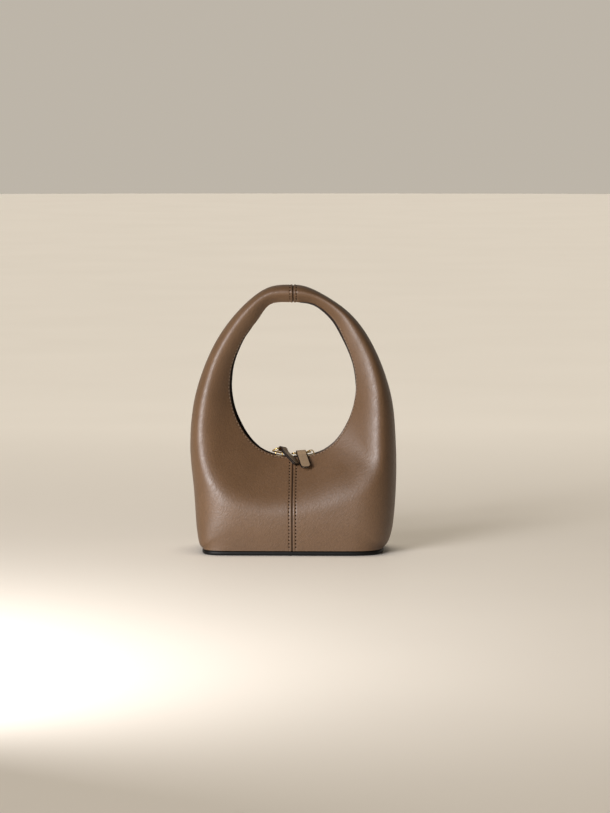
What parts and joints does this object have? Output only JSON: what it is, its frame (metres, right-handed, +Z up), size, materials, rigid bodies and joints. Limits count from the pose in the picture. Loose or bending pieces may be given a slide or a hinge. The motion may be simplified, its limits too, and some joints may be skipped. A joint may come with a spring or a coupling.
{
  "type": "leather top-handle bag",
  "caption": "Small smooth leather bag with halves that rise from a dark base and close into a round loop handle, shut along the loop by a zip with folded pull tabs.",
  "frame": {"origin": "middle of the underside of the base", "axes": "+X to the right of the front, +Y to the back, +Z up through the handle"},
  "size_m": [0.2076, 0.0926, 0.268],
  "materials": {
    "leather": "smooth satin, fine grain",
    "base_leather": "smooth satin",
    "tape": "woven, matt",
    "gold": "polished"
  },
  "bodies": {
    "root": {"left_panel": "leather", "right_panel": "leather", "base": "base_leather", "zip_tape_front": "tape", "zip_tape_back": "tape", "zip_chain_left": "gold", "zip_chain_right": "gold", "zip_slider_left": "gold", "zip_slider_right": "gold", "pull_link_left": "gold", "pull_link_right": "gold", "pull_tab_left": "leather", "pull_tab_right": "leather"}
  },
  "joints": []
}
